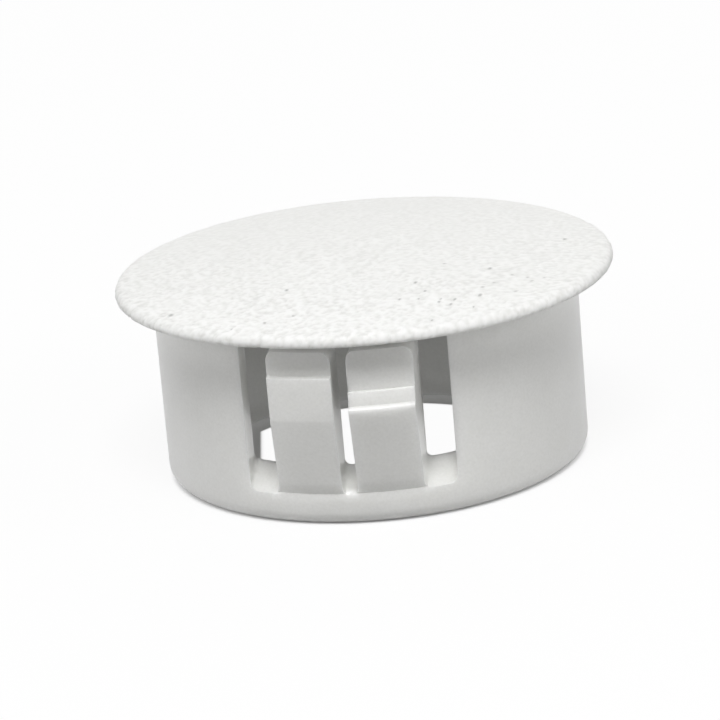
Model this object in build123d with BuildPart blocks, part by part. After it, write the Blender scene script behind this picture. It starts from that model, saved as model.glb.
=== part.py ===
from build123d import *
import os
from math import radians, tan

# A snap-in plug that closes a round hole in sheet metal, moulded in one piece. It stands
# on its open rim. +Z runs up through the middle of the head, and the origin is the middle
# of the rim. A window on the -Y side and one on the +Y side each hold two snap fingers.
# Sizes are in millimetres and angles in degrees.

# the round hole, and the skirt that enters it
hole_diameter = 25.4
hole_clearance = 0.2
skirt_wall = 1.8
skirt_height = 11.2
bore_draft = 0.5
rim_outer_fillet = 0.85
rim_inner_chamfer = 0.3
ceiling_chamfer = 0.3

# the head, a shallow dome with a thin edge that leans in and is bevelled above and below
head_overhang = 2.2
head_edge_thickness = 0.65
head_dome_rise = 0.6
head_edge_draft = 15.0
head_top_chamfer = 0.25
head_under_chamfer = 0.15

# the windows, each with a sill that slopes up inward from the ring that closes the skirt
window_count = 2
window_width = 11.9
ring_height = 1.85
sill_angle = 34.0
sill_fillet = 0.35

# the two fingers of a window
finger_width = 3.7
finger_gap = 0.9
tip_gap = 0.6
tip_fillet = 0.45
neck_stand_out = 0.8

# the finger for a thin panel has a flat land below its shoulder
thin_panel = 2.05
thin_stand_out = 1.1
thin_land = 2.55
thin_ramp_fillet = 1.5

# the finger for a thick panel has a peak, and a locking face that slopes back above it
thick_panel = 2.95
thick_stand_out = 1.35
thick_lock_height = 0.95
thick_peak_fillet = 0.6
thick_step = 0.15

skirt_radius = hole_diameter / 2 - hole_clearance
bore_radius = skirt_radius - skirt_wall
ceiling_radius = bore_radius - skirt_height * tan(radians(bore_draft))
head_radius = skirt_radius + head_overhang
head_edge_top = skirt_height + head_edge_thickness
head_edge_start = skirt_height + head_under_chamfer
head_edge_radius = head_radius - (head_edge_top - head_edge_start) * tan(radians(head_edge_draft))
head_top = head_edge_top + head_dome_rise
neck_radius = skirt_radius + neck_stand_out
tip_height = skirt_height - tip_gap
finger_offset = (finger_gap + finger_width) / 2
# a window is cut from well inside the bore to well outside the head
cut_start = bore_radius / 2
cut_end = head_radius + head_overhang


# height of the sill at a given distance from the axis
def sill_height(radius):
    return ring_height + (skirt_radius - radius) * tan(radians(sill_angle))


# the corner of an outline at a given point
def corner(outline, x, z):
    return outline.vertices().sort_by_distance((x, z))[0]


# half of a window's fingers before the gaps are cut: the outer side of one finger, turned
# about the axis, with its root sunk in the ring and its back sunk in the wall
def finger_bank(side, bend, bend_fillet, shoulder):
    back = skirt_radius - skirt_wall / 2
    bank_top = (tip_height + skirt_height) / 2
    with BuildPart() as bank:
        with BuildSketch(Plane.XZ) as outline:
            Polygon(
                (back, ring_height / 2),
                (skirt_radius - hole_clearance, ring_height / 2),
                (skirt_radius, ring_height),
                bend,
                *shoulder,
                (neck_radius, bank_top),
                (back, bank_top),
                align=None,
            )
            fillet(corner(outline, *bend), bend_fillet)
        revolve(axis=Axis.Z)
        with BuildSketch():
            with Locations((side * window_width / 4, -head_radius / 2)):
                Rectangle(window_width / 2, head_radius)
        extrude(amount=skirt_height, mode=Mode.INTERSECT)
    return bank.part


land_radius = skirt_radius + thin_stand_out
thin_shoulder = skirt_height - thin_panel
thin_bank = finger_bank(
    side=-1,
    bend=(land_radius, thin_shoulder - thin_land),
    bend_fillet=thin_ramp_fillet,
    shoulder=[(land_radius, thin_shoulder), (neck_radius, thin_shoulder)],
)

thick_shoulder = skirt_height - thick_panel
thick_bank = finger_bank(
    side=1,
    bend=(skirt_radius + thick_stand_out, thick_shoulder - thick_lock_height),
    bend_fillet=thick_peak_fillet,
    shoulder=[(neck_radius + thick_step, thick_shoulder), (neck_radius, thick_shoulder)],
)

# what is open in one window: all of it above the sill but the two fingers
with BuildPart() as window:
    with BuildSketch(Plane.XZ.offset(cut_start)) as comb:
        with Locations((0, skirt_height / 2)):
            Rectangle(window_width, skirt_height)
        with Locations((-finger_offset, tip_height / 2), (finger_offset, tip_height / 2)):
            Rectangle(finger_width, tip_height, mode=Mode.SUBTRACT)
        tip_corners = comb.vertices().group_by(Axis.Y)[-2]
        fillet(tip_corners, tip_fillet)
    extrude(amount=cut_end - cut_start)
    with BuildSketch(Plane.XZ):
        Polygon(
            (0, sill_height(0)),
            (2 * cut_end, sill_height(2 * cut_end)),
            (2 * cut_end, skirt_height),
            (0, skirt_height),
            align=None,
        )
    revolve(axis=Axis.Z, mode=Mode.INTERSECT)
    sills = window.faces().filter_by(GeomType.CONE)
    fillet(sills.edges().filter_by(Plane.YZ), sill_fillet)

# the hollow inside the skirt, wider at the rim
with BuildPart() as hollow:
    with BuildSketch(Plane.XZ) as outline:
        Polygon(
            (0, 0),
            (bore_radius, 0),
            (ceiling_radius, skirt_height),
            (0, skirt_height),
            align=None,
        )
        chamfer(corner(outline, ceiling_radius, skirt_height), ceiling_chamfer)
    revolve(axis=Axis.Z)

# the head and the skirt as a solid, with the fingers' banks added and all openings cut
with BuildPart() as hole_plug:
    with BuildSketch(Plane.XZ) as outline:
        with BuildLine():
            rim = Line((0, 0), (skirt_radius, 0))
            skirt = Line(rim @ 1, (skirt_radius, skirt_height))
            underside = Line(skirt @ 1, (head_radius - head_under_chamfer, skirt_height))
            under_bevel = Line(underside @ 1, (head_radius, head_edge_start))
            edge = Line(under_bevel @ 1, (head_edge_radius, head_edge_top))
            dome = TangentArc((0, head_top), edge @ 1, tangent=(1, 0))
            Line(dome @ 0, rim @ 0)
        make_face()
        fillet(corner(outline, skirt_radius, 0), rim_outer_fillet)
        chamfer(corner(outline, head_edge_radius, head_edge_top), head_top_chamfer)
    revolve(axis=Axis.Z)
    with PolarLocations(0, window_count):
        add(thin_bank)
        add(thick_bank)
        add(window.part, mode=Mode.SUBTRACT)
    add(hollow.part, mode=Mode.SUBTRACT)
    rim_circles = hole_plug.edges().filter_by(GeomType.CIRCLE).group_by(Axis.Z)[0]
    chamfer(rim_circles.sort_by(SortBy.RADIUS)[0], rim_inner_chamfer)

hole_plug.part.label = "hole_plug"
os.makedirs("parts", exist_ok=True)
export_step(hole_plug.part, "parts/hole_plug.step")
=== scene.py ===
import math
import bmesh
import bpy
from mathutils import Matrix, Vector, noise


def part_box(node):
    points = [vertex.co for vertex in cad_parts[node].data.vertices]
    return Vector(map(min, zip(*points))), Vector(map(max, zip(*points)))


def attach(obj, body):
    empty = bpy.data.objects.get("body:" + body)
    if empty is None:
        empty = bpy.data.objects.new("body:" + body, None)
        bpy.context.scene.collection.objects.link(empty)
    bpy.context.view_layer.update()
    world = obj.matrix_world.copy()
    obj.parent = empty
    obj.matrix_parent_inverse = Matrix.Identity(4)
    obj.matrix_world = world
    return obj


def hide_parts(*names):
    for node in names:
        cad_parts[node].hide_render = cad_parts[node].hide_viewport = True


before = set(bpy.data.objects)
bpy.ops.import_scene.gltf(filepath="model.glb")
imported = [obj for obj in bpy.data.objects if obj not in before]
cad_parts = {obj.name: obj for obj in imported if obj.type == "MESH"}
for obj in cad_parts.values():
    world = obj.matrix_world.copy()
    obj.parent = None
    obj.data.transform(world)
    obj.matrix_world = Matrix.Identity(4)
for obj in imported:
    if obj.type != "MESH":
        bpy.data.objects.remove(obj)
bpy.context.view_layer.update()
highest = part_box("hole_plug")[1]    # the CAD plug's highest corner
mm = 0.001
hair = 0.001                        # places closer than this, in millimetres, are the same
sharpEdge = math.radians(40)        # edges that turn more than this are shaded sharp

# sizes in the dictionaries are in millimetres, and angles in degrees


def cuts(start, end, step):
    # places between two ends, evenly spaced at about one step
    count = max(1, round((end - start) / step))
    return [start + (end - start) * i / count for i in range(1, count)]


def onlyVerts(geometry):
    return [g for g in geometry if isinstance(g, bmesh.types.BMVert)]


def countOpen(bm):
    return sum(not e.is_manifold for e in bm.edges)


def shadeSmooth(bm):
    for f in bm.faces:
        f.smooth = True
    for e in bm.edges:
        e.smooth = e.is_manifold and e.calc_face_angle(0) < sharpEdge


def pieceFromMesh(bm, name):
    mesh = bpy.data.meshes.new(name)
    bm.to_mesh(mesh)
    bm.free()
    piece = bpy.data.objects.new(name, mesh)
    bpy.context.scene.collection.objects.link(piece)
    return piece


def roundEdges(bm, edges, radius, segments):
    bmesh.ops.bevel(
        bm, geom=edges, offset=radius, offset_type="OFFSET", affect="EDGES",
        segments=segments, profile=0.5, material=-1, clamp_overlap=True)


def cutAt(bm, place, across, above=-1):
    # cuts the faces that lie above a height
    faces = [f for f in bm.faces if f.calc_center_median().z > above]
    edges = {e for f in faces for e in f.edges}
    verts = {v for f in faces for v in f.verts}
    bmesh.ops.bisect_plane(bm, geom=[*verts, *edges, *faces], plane_co=place, plane_no=across)


# the skirt: a flat strip of wall is cut open, thickened, then wrapped round the axis
skirt = {
    "radius": 12.5,
    "wall": 1.8,
    "boreDraft": 0.5,
    "height": 11.2,
    "intoHead": 0.25,
    "ring": 1.85,          # top of the ring, outside
    "sill": 3.07,          # top of the ring, inside
    "window": 5.95,        # half its width
    "panelLength": 13.4,   # from the window to the side, round the outside
    "columnStep": 0.65,
    # where the mesh is cut: by the ring's top, and through the wall as a share of its depth
    "rootRows": [-0.6, 0, 0.08, 0.2, 0.8],
    "depthCuts": [0.26, 0.83],
    "depthCutsFrom": 1.35,
    # roundings of corners, of the foot, and of the window's and fingers' edges
    "sillRound": 0.4,
    "rimOutside": 0.85,
    "rimInside": 0.3,
    "sillEdge": 0.55,
    "panelEdge": 0.2,
    "fingerEdge": 0.12,
    "backRound": 0.22,
    "mergeWithin": 0.002,
}
fingers = {
    "near": 0.45,          # half of the gap between the two
    "far": 4.15,
    "tip": 10.6,
    "tipRound": 0.55,
    # outline of each as height and radius, from a small crease at the ring up to the tip
    "thin": [(1.85, 12.5), (1.93, 12.45), (2.05, 12.55), (6.6, 13.6), (9.13, 13.6),
             (9.17, 13.3), (10.6, 13.3)],
    "thick": [(1.85, 12.5), (1.93, 12.45), (2.05, 12.55), (7.24, 13.87), (7.46, 13.6),
              (8.24, 13.47), (8.26, 13.3), (10.6, 13.3)],
    # bends across a finger that are rounded: its side, from and to a height, radius, segments
    "bends": [
        (-1, 9.0, 9.3, 0.05, 2),      # the shoulder for a thin panel
        (-1, 6.5, 6.7, 0.12, 3),      # foot of its land
        (1, 8.2, 8.3, 0.025, 2),      # the step above the locking face
        (1, 7.2, 7.3, 0.17, 4),       # the peak below it
    ],
}
outside, inside, cutFace = 0, 1, 2


def alongOutline(outline, z):
    for (z0, r0), (z1, r1) in zip(outline, outline[1:]):
        if z <= z1:
            return r0 + (r1 - r0) * (z - z0) / (z1 - z0)
    return outline[-1][1]


def isFinger(x, z, slack=hair):
    across = fingers["near"] - slack <= abs(x) <= fingers["far"] + slack
    return across and skirt["ring"] <= z <= fingers["tip"] + slack


def outerRadius(x, z):
    # the roundings at a finger's root lean out with it
    corner = skirt["sillRound"]
    atRoot = isFinger(x, z, corner) and z < skirt["ring"] + corner
    if not isFinger(x, z) and not atRoot:
        return skirt["radius"]
    return alongOutline(fingers["thin" if x < 0 else "thick"], z)


def innerPlace(z):
    # the sill slopes, so on the inside the ring is taller
    ring, sill, tip = skirt["ring"], skirt["sill"], fingers["tip"]
    if z <= ring:
        height = z * sill / ring
    elif z <= tip:
        height = sill + (z - ring) * (tip - sill) / (tip - ring)
    else:
        height = z
    bore = skirt["radius"] - skirt["wall"]
    return height, bore - height * math.tan(math.radians(skirt["boreDraft"]))


def wrap(place):
    # the windows and fingers stay square across, and the panels curve round to the sides
    deep = place.y
    height, radius = innerPlace(place.z)
    height = place.z + (height - place.z) * deep
    radius = outerRadius(place.x, place.z) * (1 - deep) + radius * deep
    edge = skirt["window"]
    if abs(place.x) <= edge + hair:
        return Vector((place.x, -math.sqrt(radius ** 2 - place.x ** 2), height))
    start = math.asin(edge / radius)
    share = (abs(place.x) - edge) / skirt["panelLength"]
    turn = start + (math.pi / 2 - start) * share
    across = math.copysign(radius * math.sin(turn), place.x)
    return Vector((across, -radius * math.cos(turn), height))


def isOpen(place):
    inWindow = abs(place.x) < skirt["window"] and place.z > skirt["ring"]
    return inWindow and not isFinger(place.x, place.z)


def flatWall():
    bm = bmesh.new()
    ring, edge, step = skirt["ring"], skirt["window"], skirt["columnStep"]
    near, far = fingers["near"], fingers["far"]
    half = edge + skirt["panelLength"]
    top = skirt["height"] + skirt["intoHead"]
    standing = Matrix.Translation((0, 0, top / 2)) @ Matrix.Rotation(math.pi / 2, 4, "X")
    bmesh.ops.create_grid(bm, x_segments=1, y_segments=1, size=1,
                          matrix=standing @ Matrix.Diagonal((half, top / 2, 1, 1)))
    columns = [near, far, edge]
    columns += cuts(near, far, step) + cuts(far, edge, step) + cuts(edge, half, step)
    # the rows of a finger's root are left for after its corners are rounded
    bends = fingers["thin"] + fingers["thick"]
    upper = {height for height, radius in bends if height > ring + 1}
    for x in columns + [-x for x in columns]:
        cutAt(bm, (x, 0, 0), (1, 0, 0))
    for z in sorted(upper | {ring}):
        cutAt(bm, (0, 0, z), (0, 0, 1))
    opened = [f for f in bm.faces if isOpen(f.calc_center_median())]
    bmesh.ops.delete(bm, geom=opened, context="FACES")
    grown = bmesh.ops.extrude_face_region(bm, geom=bm.faces[:])["geom"]
    bmesh.ops.translate(bm, verts=onlyVerts(grown), vec=(0, 1, 0))
    return bm


def markSides(bm):
    for f in bm.faces:
        depth = f.calc_center_median().y
        f.material_index = outside if depth < hair else inside if depth > 1 - hair else cutFace


def roundCorners(bm, xs, z, radius, segments):
    # rounds edges that go straight through the wall
    found = []
    for e in bm.edges:
        a, b = e.verts
        through = abs(a.co.y - b.co.y) > 1 - hair
        if through and abs(a.co.z - z) < hair and min(abs(abs(a.co.x) - x) for x in xs) < hair:
            found.append(e)
    roundEdges(bm, found, radius, segments)


def roundBend(bm, side, low, high, radius, segments):
    # rounds level edges on the outside of one finger
    found = []
    for e in bm.edges:
        a, b = e.verts
        x, z = (a.co.x + b.co.x) / 2 * side, a.co.z
        level = abs(z - b.co.z) < hair and low <= z <= high
        onFinger = fingers["near"] < x < fingers["far"]
        if level and onFinger and all(f.material_index == outside for f in e.link_faces):
            found.append(e)
    roundEdges(bm, found, radius, segments)


def border(bm, side, low, high):
    # edges between one side of the wall and what is cut
    found = []
    for e in bm.edges:
        kinds = {f.material_index for f in e.link_faces}
        z = (e.verts[0].co.z + e.verts[1].co.z) / 2
        if len(e.link_faces) == 2 and kinds == {side, cutFace} and low <= z <= high:
            found.append(e)
    return found


def softenOutside(bm, top):
    # a bevel whose width changes along the edges, widest at the sills
    weights = bm.edges.layers.float.new("bevel_weight_edge")
    widest = skirt["sillEdge"]
    sillTop = skirt["ring"] + skirt["sillRound"] + hair
    betweenBoth = (fingers["far"] + skirt["window"]) / 2
    for e in border(bm, outside, hair, top):
        middle = (e.verts[0].co + e.verts[1].co) / 2
        onPanel = abs(middle.x) > betweenBoth
        width = skirt["panelEdge"] if onPanel else skirt["fingerEdge"]
        e[weights] = 1 if middle.z < sillTop else width / widest
    piece = pieceFromMesh(bm, "skirt")
    step = piece.modifiers.new("soften", "BEVEL")
    step.limit_method = "WEIGHT"
    step.width, step.segments, step.profile = widest, 3, 0.5
    step.use_clamp_overlap = True
    depsgraph = bpy.context.evaluated_depsgraph_get()
    softened = bmesh.new()
    softened.from_mesh(piece.evaluated_get(depsgraph).to_mesh())
    bpy.data.objects.remove(piece)
    return softened


def buildSkirt():
    bm = flatWall()
    near, far, edge = fingers["near"], fingers["far"], skirt["window"]
    ring, half = skirt["ring"], edge + skirt["panelLength"]
    roundCorners(bm, (near, far), fingers["tip"], fingers["tipRound"], segments=6)
    roundCorners(bm, (near, far, edge), ring, skirt["sillRound"], segments=5)
    for shift in skirt["rootRows"]:
        cutAt(bm, (0, 0, ring + shift), (0, 0, 1))
    for share in skirt["depthCuts"]:
        cutAt(bm, (0, share, 0), (0, 1, 0), above=skirt["depthCutsFrom"])
    markSides(bm)
    # each half is open at its ends, where the other half joins it
    cutFaces = [f for f in bm.faces if f.material_index == cutFace]
    ends = [f for f in cutFaces if abs(abs(f.calc_center_median().x) - half) < hair]
    bmesh.ops.delete(bm, geom=ends, context="FACES")
    for v in bm.verts:
        v.co = wrap(v.co)
    bmesh.ops.recalc_face_normals(bm, faces=bm.faces[:])
    for side, low, high, radius, segments in fingers["bends"]:
        roundBend(bm, side, low, high, radius, segments)
    top = skirt["height"] + skirt["intoHead"] - hair
    bm = softenOutside(bm, top)
    roundEdges(bm, border(bm, inside, hair, top), skirt["backRound"], segments=3)
    roundEdges(bm, border(bm, outside, -hair, hair), skirt["rimOutside"], segments=6)
    roundEdges(bm, border(bm, inside, -hair, hair), skirt["rimInside"], segments=3)

    other = bmesh.ops.duplicate(bm, geom=bm.verts[:] + bm.edges[:] + bm.faces[:])["geom"]
    bmesh.ops.rotate(bm, cent=(0, 0, 0), matrix=Matrix.Rotation(math.pi, 3, "Z"),
                     verts=onlyVerts(other))
    bmesh.ops.remove_doubles(bm, verts=bm.verts[:], dist=skirt["mergeWithin"])
    bmesh.ops.recalc_face_normals(bm, faces=bm.faces[:])
    bmesh.ops.scale(bm, vec=(mm, mm, mm), verts=bm.verts[:])
    for f in bm.faces:
        f.material_index = 0
    shadeSmooth(bm)
    print("skirt made,", len(bm.faces), "faces,", countOpen(bm), "open edges")
    return pieceFromMesh(bm, "skirt")


# the head: a fine grid is drawn into a disc and domed, and its rim is extruded from the edge
head = {
    "radius": highest[0] / mm,
    "top": highest[2] / mm,
    "rise": 0.6,
    "cells": 268,
    # the rim as distance in from the edge and height, from the top round to the underside
    "rim": [(0.42, 11.876), (0.3, 11.845), (0.19, 11.785), (0.1, 11.7), (0.04, 11.59),
            (0.01, 11.47), (0.01, 11.37), (0.05, 11.28), (0.12, 11.22), (0.22, 11.2)],
    "rimWidth": 1.05,      # what counts as near the rim
    "rimWave": 0.07,
    "rimWaveLength": 1.1,
    # small dents in the rim: degrees round from the front, depth and half width
    "nicks": [(-60.5, 0.22, 0.3), (-17, 0.16, 0.22), (-33, 0.08, 0.4), (12, 0.07, 0.3),
              (57, 0.08, 0.5), (118, 0.1, 0.4), (171, 0.07, 0.5), (-131, 0.09, 0.35)],
    # grain left by spark erosion of the mould, shallower towards the back
    "grainWidth": 0.3,
    "grainDepth": 0.055,
    "grainAtRim": 0.75,
    "grainAtBack": 0.25,
    "openAndPaintedLightAtFront": 0.22,   # pits are fewer towards the front, so the grain is shallower there, and its colour lighter, a painted highlight
    "fadeLength": 1.6,     # from front to back, as a share of the radius
    "grainFrom": 0.4,      # height above the underside at which it is full
    # layers of the grain: width as a share, offset that keeps it apart, and strength
    "coarse": (1, (0, 0, 0), 0.9),
    "fine": (0.5, (31, 7, 13), 0.55),
    "patches": (6, (5, 17, 3), 0.5),
    "clearOfBox": 0.004,
    "rimPaintedShade": 0.05,       # painted shade: the rim is coloured a little greyer, as a hollow is, to tone down its light
}
edgeTop = head["top"] - head["rise"]
underside = head["rim"][-1][1]


def onDisc(place):
    # a square's rings become a disc's rings, so the cells stay nearly even
    u, v = place.x, place.y
    if abs(u) > abs(v):
        radius, turn = u, math.pi / 4 * v / u
    elif v != 0:
        radius, turn = v, math.pi / 2 - math.pi / 4 * u / v
    else:
        radius, turn = 0, 0
    return Vector((radius * math.cos(turn), radius * math.sin(turn), 0))


def grainLayer(place, kind):
    share, offset, strength = head[kind]
    return strength * noise.noise(place / (head["grainWidth"] * share) + Vector(offset))


def grain(place):
    # how deep the mould's spark-eroded grain is at a point, from 0 to 1
    pits = grainLayer(place, "coarse") + grainLayer(place, "fine")
    # fewer pits at the front also colour it lighter, a painted highlight
    middle = 0.5 - head["openAndPaintedLightAtFront"] * (1 - towardsBack(place))
    return min(1, max(0, middle - pits * (1 + grainLayer(place, "patches"))))


def towardsBack(place):
    return min(1, max(0, 0.5 + place.y / head["radius"] / head["fadeLength"]))


def grainStrength(place):
    return 1 - towardsBack(place) * (1 - head["grainAtBack"])


def nearRim(place):
    # from 0 inside the rim's width to 1 at its edge
    return max(0, 1 - (head["radius"] - math.hypot(place.x, place.y)) / head["rimWidth"])


def nickDepth(place):
    turn = math.degrees(math.atan2(place.x, -place.y))
    total = 0
    for where, depth, half in head["nicks"]:
        away = math.radians((turn - where + 180) % 360 - 180) * head["radius"] / half
        total += depth * max(0, 1 - away * away)
    return total


def wearHead(v):
    # how a point of the head moves for its grain, its rim's waves and nicks
    rim = nearRim(v.co)
    strength = min(1, (v.co.z - underside) / head["grainFrom"])
    strength *= grainStrength(v.co) * (1 + (head["grainAtRim"] - 1) * rim)
    wave = 0.5 + 0.5 * noise.noise(v.co / head["rimWaveLength"])
    inward = (head["rimWave"] * wave + nickDepth(v.co)) * rim + head["clearOfBox"]
    outward = Vector((v.co.x, v.co.y, 0)) / head["radius"]
    return -v.normal * head["grainDepth"] * grain(v.co) * strength - outward * inward


def buildHead():
    bm = bmesh.new()
    bmesh.ops.create_grid(bm, x_segments=head["cells"], y_segments=head["cells"], size=1)
    radius = head["radius"]
    for v in bm.verts:
        spot = onDisc(v.co) * (radius - head["rim"][0][0])
        spot.z = edgeTop + head["rise"] * (1 - (spot.length / radius) ** 2)
        v.co = spot
    edges = [e for e in bm.edges if e.is_boundary]
    for inward, height in head["rim"][1:]:
        grown = bmesh.ops.extrude_edge_only(bm, edges=edges)["geom"]
        edges = [e for e in grown if isinstance(e, bmesh.types.BMEdge)]
        for v in onlyVerts(grown):
            flat = Vector((v.co.x, v.co.y, 0)).normalized() * (radius - inward)
            v.co = Vector((flat.x, flat.y, height))
    bmesh.ops.holes_fill(bm, edges=edges)
    bmesh.ops.recalc_face_normals(bm, faces=bm.faces[:])
    bm.normal_update()
    for v in bm.verts:
        v.co += wearHead(v)
        v.co.z = max(v.co.z, underside)
    bmesh.ops.scale(bm, vec=(mm, mm, mm), verts=bm.verts[:])
    for f in bm.faces:
        f.smooth = True
        f.material_index = 1
    print("head made,", len(bm.faces), "faces,", countOpen(bm), "open edges")
    return pieceFromMesh(bm, "head")


def joinInto(piece, other, name):
    # one solid, as moulded
    step = piece.modifiers.new("join", "BOOLEAN")
    step.operation = "UNION"
    step.solver = "EXACT"
    step.object = other
    depsgraph = bpy.context.evaluated_depsgraph_get()
    mesh = bpy.data.meshes.new_from_object(piece.evaluated_get(depsgraph))
    for old in (piece, other):
        bpy.data.objects.remove(old)
    bm = bmesh.new()
    bm.from_mesh(mesh)
    shadeSmooth(bm)
    triangles = sum(len(f.verts) - 2 for f in bm.faces)
    volume = round(bm.calc_volume() / mm ** 3, 1)
    print(name, "joined,", triangles, "triangles,", countOpen(bm), "open edges,",
          volume, "cubic mm")
    return pieceFromMesh(bm, name)


# specks of dark dust in the resin, near the surface
dust = {
    "length": 2,           # of a speck, as a share of its width
    "strength": 0.5,
    "reach": 1.5,          # where a speck has faded out, as a share of its half width
    # across, away and half width
    "specks": [
        (-9.91, -9.23, 0.13), (7.71, -8.46, 0.1), (-3.60, -6.46, 0.09), (7.86, -3.73, 0.09),
        (3.80, -6.09, 0.08), (6.35, -9.11, 0.08), (9.67, -7.82, 0.08), (5.49, -9.54, 0.08),
        (3.19, -8.98, 0.08), (5.37, -12.45, 0.07), (11.73, 2.32, 0.09), (7.74, -7.10, 0.07),
        (6.19, -9.91, 0.07), (5.55, -9.06, 0.06), (5.13, -2.73, 0.06), (8.31, -6.31, 0.06),
        (-2.62, -10.91, 0.06), (10.44, -5.97, 0.06), (-5.92, -12.42, 0.06), (9.23, -4.91, 0.06),
        (4.50, -7.62, 0.06), (10.15, -5.35, 0.06), (11.10, -5.41, 0.06), (7.51, -10.39, 0.06),
        (4.27, -8.95, 0.06), (-4.14, -11.74, 0.06),
    ],
}


def speckDark(place):
    darkest = 0
    for x, y, half in dust["specks"]:
        away = math.hypot(place.x - x, (place.y - y) / dust["length"])
        darkest = max(darkest, min(1, dust["reach"] - away / half))
    return darkest * dust["strength"]


def paintSurface(piece):
    # how deep in the grain each point of the head is, which colours its hollows with painted shade,
    # and how dark with dust it is
    hollow = piece.data.attributes.new("hollow", "FLOAT", "POINT")
    speck = piece.data.attributes.new("speck", "FLOAT", "POINT")
    for v in piece.data.vertices:
        place = v.co / mm
        if place.z >= underside:
            deep = 0.5 + (grain(place) - 0.5) * grainStrength(place)
            # painted shade: the rim's grey is added to the grain's
            hollow.data[v.index].value = min(1, deep + head["rimPaintedShade"] * min(1, nearRim(place)))
        if place.z >= edgeTop:
            speck.data[v.index].value = speckDark(place)
    print("surface painted")


skirtPiece = buildSkirt()
headPiece = buildHead()
plug = joinInto(skirtPiece, headPiece, "plug")
paintSurface(plug)
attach(plug, "root")
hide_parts("hole_plug")

# the camera looks a little down on the plug, from the windows' side, and is tipped slightly
view = {
    "turn": 8.4,
    "rise": 17.35,
    "roll": -5.0,
    "distance": 225.0,
    "lens": 190.0,
    "sensor": 36,
    "nearest": 10,         # closest thing it sees
    "aimAcross": -0.67,
    "aimHeight": 5.9,
}


def buildCamera():
    turn, rise, roll = (math.radians(view[k]) for k in ("turn", "rise", "roll"))
    across = Vector((math.cos(turn), math.sin(turn), 0))
    back = Vector((math.cos(rise) * math.sin(turn), -math.cos(rise) * math.cos(turn),
                   math.sin(rise)))
    up = back.cross(across)
    right = across * math.cos(roll) + up * math.sin(roll)
    top = up * math.cos(roll) - across * math.sin(roll)
    aim = across * view["aimAcross"] + Vector((0, 0, view["aimHeight"]))
    camera = bpy.data.objects.new("camera", bpy.data.cameras.new("camera"))
    bpy.context.scene.collection.objects.link(camera)
    camera.matrix_world = Matrix.Translation((aim + back * view["distance"]) * mm) @ Matrix(
        (right, top, back)).transposed().to_4x4()
    camera.data.lens = view["lens"]
    camera.data.sensor_width = view["sensor"]
    camera.data.clip_start = view["nearest"] * mm
    bpy.context.scene.camera = camera


buildCamera()


def linear(hexCode):
    channels = [int(hexCode[i:i + 2], 16) / 255 for i in (1, 3, 5)]
    return [c / 12.92 if c <= 0.04045 else ((c + 0.055) / 1.055) ** 2.4 for c in channels] + [1]


def addNode(tree, kind, settings={}, links={}):
    # a node with its own settings, its sockets' values, and what feeds its sockets
    node = tree.nodes.new(kind)
    for key, value in settings.items():
        if isinstance(key, str) and hasattr(node, key):
            setattr(node, key, value)
        else:
            node.inputs[key].default_value = value
    for key, source in links.items():
        tree.links.new(source, node.inputs[key])
    return node


def newMaterial(name):
    material = bpy.data.materials.new(name)
    material.use_nodes = True
    material.node_tree.nodes.clear()
    return material, material.node_tree


# a Mix node has sockets of the same name for each kind, so they go by number
numberA, numberB, colourA, colourB, colourOut = 2, 3, 6, 7, 2

# nylon 6/6, injection moulded: a milky white with a soft shine, which light enters a little,
# so that edges and thin walls look bright and soft
nylon = {
    "colour": "#FAFAF8",
    "shade": "#E2E2DF",
    "roughness": 0.3,
    "ior": 1.53,
    "cloudWidth": 4.0,
    # a faint mottle where the mould was polished by hand, coarser than it is so that it shows
    "mottleWidth": 0.16,
    "mottleShare": 0.5,
    "mottleDepth": 0.004,
    "lightReach": 0.8,
}
# the same nylon where the mould was spark eroded, with little shine: its hollows are coloured
# greyer, a painted shade
eroded = {
    "high": "#FBFBF9",
    # high is the colour on the grain's tops; low is painted shade, the colour in its hollows
    "low": "#E4E4E1",
    "speck": "#4A4743",
    "roughness": 0.55,
    "specular": 0.2,
    "lightShare": 0.4,
    "lightReach": 0.5,
    "fineWidth": 0.12,
    "fineDepth": 0.012,
}


def buildNylon():
    material, tree = newMaterial("injectionMouldedNylon")
    place = addNode(tree, "ShaderNodeTexCoord").outputs["Object"]
    cloud = addNode(tree, "ShaderNodeTexNoise", {
        "Scale": 1 / (nylon["cloudWidth"] * mm), "Detail": 3}, {"Vector": place})
    mottle = addNode(tree, "ShaderNodeTexNoise", {
        "Scale": 1 / (nylon["mottleWidth"] * mm), "Detail": 1}, {"Vector": place})
    spread = addNode(tree, "ShaderNodeMix", {
        "data_type": "FLOAT", "Factor": nylon["mottleShare"]},
        {numberA: cloud.outputs["Fac"], numberB: mottle.outputs["Fac"]})
    colour = addNode(tree, "ShaderNodeMix", {
        "data_type": "RGBA", colourA: linear(nylon["colour"]), colourB: linear(nylon["shade"])},
        {"Factor": spread.outputs[0]})
    bump = addNode(tree, "ShaderNodeBump", {
        "Distance": nylon["mottleDepth"] * mm, "Strength": 1}, {"Height": mottle.outputs["Fac"]})
    shader = addNode(tree, "ShaderNodeBsdfPrincipled", {
        "Roughness": nylon["roughness"], "IOR": nylon["ior"], "Subsurface Weight": 1,
        "Subsurface Radius": (1, 1, 1), "Subsurface Scale": nylon["lightReach"] * mm},
        {"Base Color": colour.outputs[colourOut], "Normal": bump.outputs["Normal"]})
    addNode(tree, "ShaderNodeOutputMaterial", {}, {"Surface": shader.outputs["BSDF"]})
    return material


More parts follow.
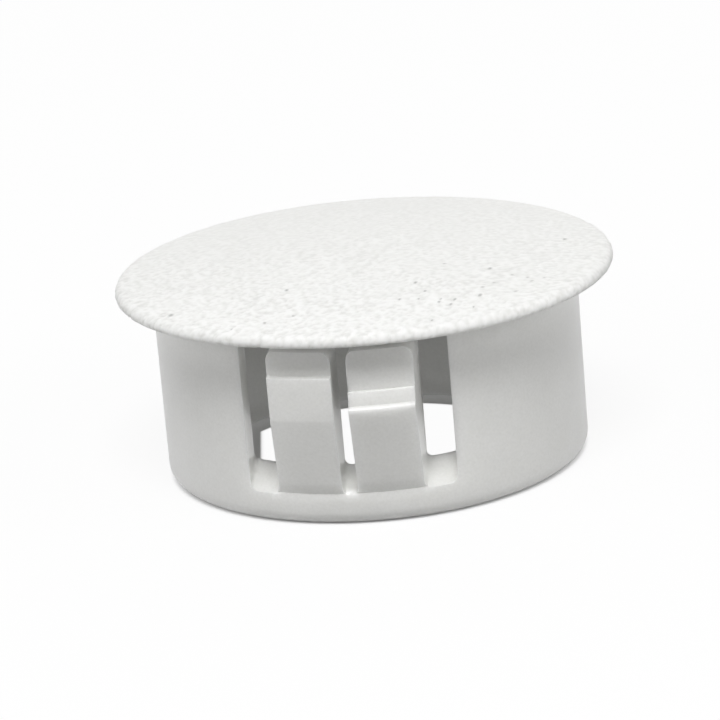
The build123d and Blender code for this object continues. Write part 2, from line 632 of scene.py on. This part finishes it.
def buildErodedNylon():
    material, tree = newMaterial("sparkErodedNylon")
    place = addNode(tree, "ShaderNodeTexCoord").outputs["Object"]
    hollow = addNode(tree, "ShaderNodeAttribute", {"attribute_name": "hollow"}).outputs["Fac"]
    speck = addNode(tree, "ShaderNodeAttribute", {"attribute_name": "speck"}).outputs["Fac"]
    # painted shade: the grain's hollows, and the rim, are coloured greyer
    colour = addNode(tree, "ShaderNodeMix", {
        "data_type": "RGBA", colourA: linear(eroded["high"]), colourB: linear(eroded["low"])},
        {"Factor": hollow})
    specked = addNode(tree, "ShaderNodeMix", {
        "data_type": "RGBA", colourB: linear(eroded["speck"])},
        {"Factor": speck, colourA: colour.outputs[colourOut]})
    fine = addNode(tree, "ShaderNodeTexNoise", {
        "Scale": 1 / (eroded["fineWidth"] * mm), "Detail": 1}, {"Vector": place})
    bump = addNode(tree, "ShaderNodeBump", {
        "Distance": eroded["fineDepth"] * mm, "Strength": 1}, {"Height": fine.outputs["Fac"]})
    shader = addNode(tree, "ShaderNodeBsdfPrincipled", {
        "Roughness": eroded["roughness"], "IOR": nylon["ior"],
        "Specular IOR Level": eroded["specular"], "Subsurface Weight": eroded["lightShare"],
        "Subsurface Radius": (1, 1, 1), "Subsurface Scale": eroded["lightReach"] * mm},
        {"Base Color": specked.outputs[colourOut], "Normal": bump.outputs["Normal"]})
    addNode(tree, "ShaderNodeOutputMaterial", {}, {"Surface": shader.outputs["BSDF"]})
    return material


plug.data.materials.append(buildNylon())
plug.data.materials.append(buildErodedNylon())
print("materials made")

# a pale table under soft studio light, against white
studio = {
    "floorColour": "#AAAAAA",
    "floorSeen": "#F6F6F6",
    "floorHalf": 900,
    # how far the table shows as plain white, by distance from the plug's axis; in a ring inside the
    # hollow, near its wall, the white is held back to a little, so a painted band of shade shows
    # there
    "floorReach": 40,
    "floorWhite": [(0, 0.97), (9.2, 0.97), (9.35, 0.02), (9.65, 0.05), (10.6, 0.08), (11.9, 0),
                   (12.5, 0.9), (40, 0.97)],
    # the table gives a little light of its own, most under the plug, which lights the hollow
    "floorGlow": [(0, 0.17), (10.6, 0.17), (11, 0.12)],
    # painted shade: inside the hollow, the table's white ends sooner on one side, widening the band
    # of shade there
    "shadeTowards": (-0.99, -0.146, 0),
    "shadeShift": 2.2,
    "shadeLimit": 10.5,
    # lamps: place, width, depth and power
    "lamps": [
        ("keyLamp", (15, -174, 303), 150, 120, 0.85),
        ("overheadLamp", (0, 60, 330), 250, 250, 0.13),
        ("leftLamp", (-300, -90, 120), 160, 160, 0.27),
        ("rightLamp", (300, -90, 120), 160, 160, 0.29),
        ("backLamp", (0, 290, 200), 250, 150, 0.1),
        ("lowBackLamp", (0, 340, 60), 220, 60, 0.05),
    ],
}


def seenDirectly(tree):
    # 1 where a surface is looked at, also in a reflection or through something, and 0 for its light
    path = addNode(tree, "ShaderNodeLightPath").outputs
    seen = addNode(tree, "ShaderNodeMath", {"operation": "MAXIMUM"},
                   {0: path["Is Camera Ray"], 1: path["Is Glossy Ray"]})
    return addNode(tree, "ShaderNodeMath", {"operation": "MAXIMUM"},
                   {0: seen.outputs[0], 1: path["Is Transmission Ray"]}).outputs[0]


def buildFloor():
    bm = bmesh.new()
    bmesh.ops.create_grid(bm, x_segments=1, y_segments=1, size=studio["floorHalf"] * mm)
    floor = pieceFromMesh(bm, "floor")
    material, tree = newMaterial("paintedTable")
    seen = seenDirectly(tree)
    colour = addNode(tree, "ShaderNodeMix", {
        "data_type": "RGBA", colourA: linear(studio["floorColour"]),
        colourB: linear(studio["floorSeen"])}, {"Factor": seen})
    paint = addNode(tree, "ShaderNodeBsdfDiffuse", {}, {"Color": colour.outputs[colourOut]})
    white = addNode(tree, "ShaderNodeEmission", {"Strength": 1})
    place = addNode(tree, "ShaderNodeTexCoord").outputs["Object"]
    # painted shade: the table's white share goes by distance from the axis, moved towards one side
    # inside the hollow
    fromAxis = addNode(tree, "ShaderNodeVectorMath", {"operation": "LENGTH"}, {0: place})
    across = addNode(tree, "ShaderNodeVectorMath", {
        "operation": "DOT_PRODUCT", 1: studio["shadeTowards"]}, {0: place})
    shifted = addNode(tree, "ShaderNodeMath", {
        "operation": "ADD", 1: studio["shadeShift"] * mm}, {0: across.outputs["Value"]})
    shaded = addNode(tree, "ShaderNodeMath", {
        "operation": "MINIMUM", 1: studio["shadeLimit"] * mm}, {0: shifted.outputs[0]})
    away = addNode(tree, "ShaderNodeMath", {"operation": "MAXIMUM"}, {
        0: fromAxis.outputs["Value"], 1: shaded.outputs[0]})
    part = addNode(tree, "ShaderNodeMath", {
        "operation": "DIVIDE", 1: studio["floorReach"] * mm}, {0: away.outputs[0]})
    ramps = []
    for stops in (studio["floorGlow"], studio["floorWhite"]):
        ramp = addNode(tree, "ShaderNodeValToRGB", {}, {"Fac": part.outputs[0]})
        elements = ramp.color_ramp.elements
        for i, (distance, amount) in enumerate(stops):
            stop = elements[i] if i < 2 else elements.new(1)
            stop.position = distance / studio["floorReach"]
            stop.color = (amount, amount, amount, 1)
        ramps.append(ramp.outputs["Color"])
    share = addNode(tree, "ShaderNodeMix", {"data_type": "FLOAT"}, {
        "Factor": seen, numberA: ramps[0], numberB: ramps[1]})
    mixed = addNode(tree, "ShaderNodeMixShader", {}, {
        0: share.outputs[0], 1: paint.outputs[0], 2: white.outputs[0]})
    # from below, the table is clear
    below = addNode(tree, "ShaderNodeNewGeometry").outputs["Backfacing"]
    clear = addNode(tree, "ShaderNodeBsdfTransparent")
    sided = addNode(tree, "ShaderNodeMixShader", {}, {
        0: below, 1: mixed.outputs[0], 2: clear.outputs[0]})
    addNode(tree, "ShaderNodeOutputMaterial", {}, {"Surface": sided.outputs[0]})
    floor.data.materials.append(material)


def buildLight():
    world = bpy.data.worlds.new("room")
    bpy.context.scene.world = world
    world.use_nodes = True
    tree = world.node_tree
    tree.nodes.clear()
    # the room is white to look at, and gives no light of its own
    room = addNode(tree, "ShaderNodeBackground", {"Color": (1, 1, 1, 1)},
                   {"Strength": seenDirectly(tree)})
    addNode(tree, "ShaderNodeOutputWorld", {}, {"Surface": room.outputs[0]})
    for name, place, width, depth, power in studio["lamps"]:
        data = bpy.data.lights.new(name, "AREA")
        data.shape = "RECTANGLE"
        data.size, data.size_y, data.energy = width * mm, depth * mm, power
        lamp = bpy.data.objects.new(name, data)
        bpy.context.scene.collection.objects.link(lamp)
        lamp.location = Vector(place) * mm
        lamp.rotation_euler = Vector(place).to_track_quat("Z", "Y").to_euler()
    bpy.context.scene.view_settings.view_transform = "Standard"


buildFloor()
buildLight()
print("table and light made")
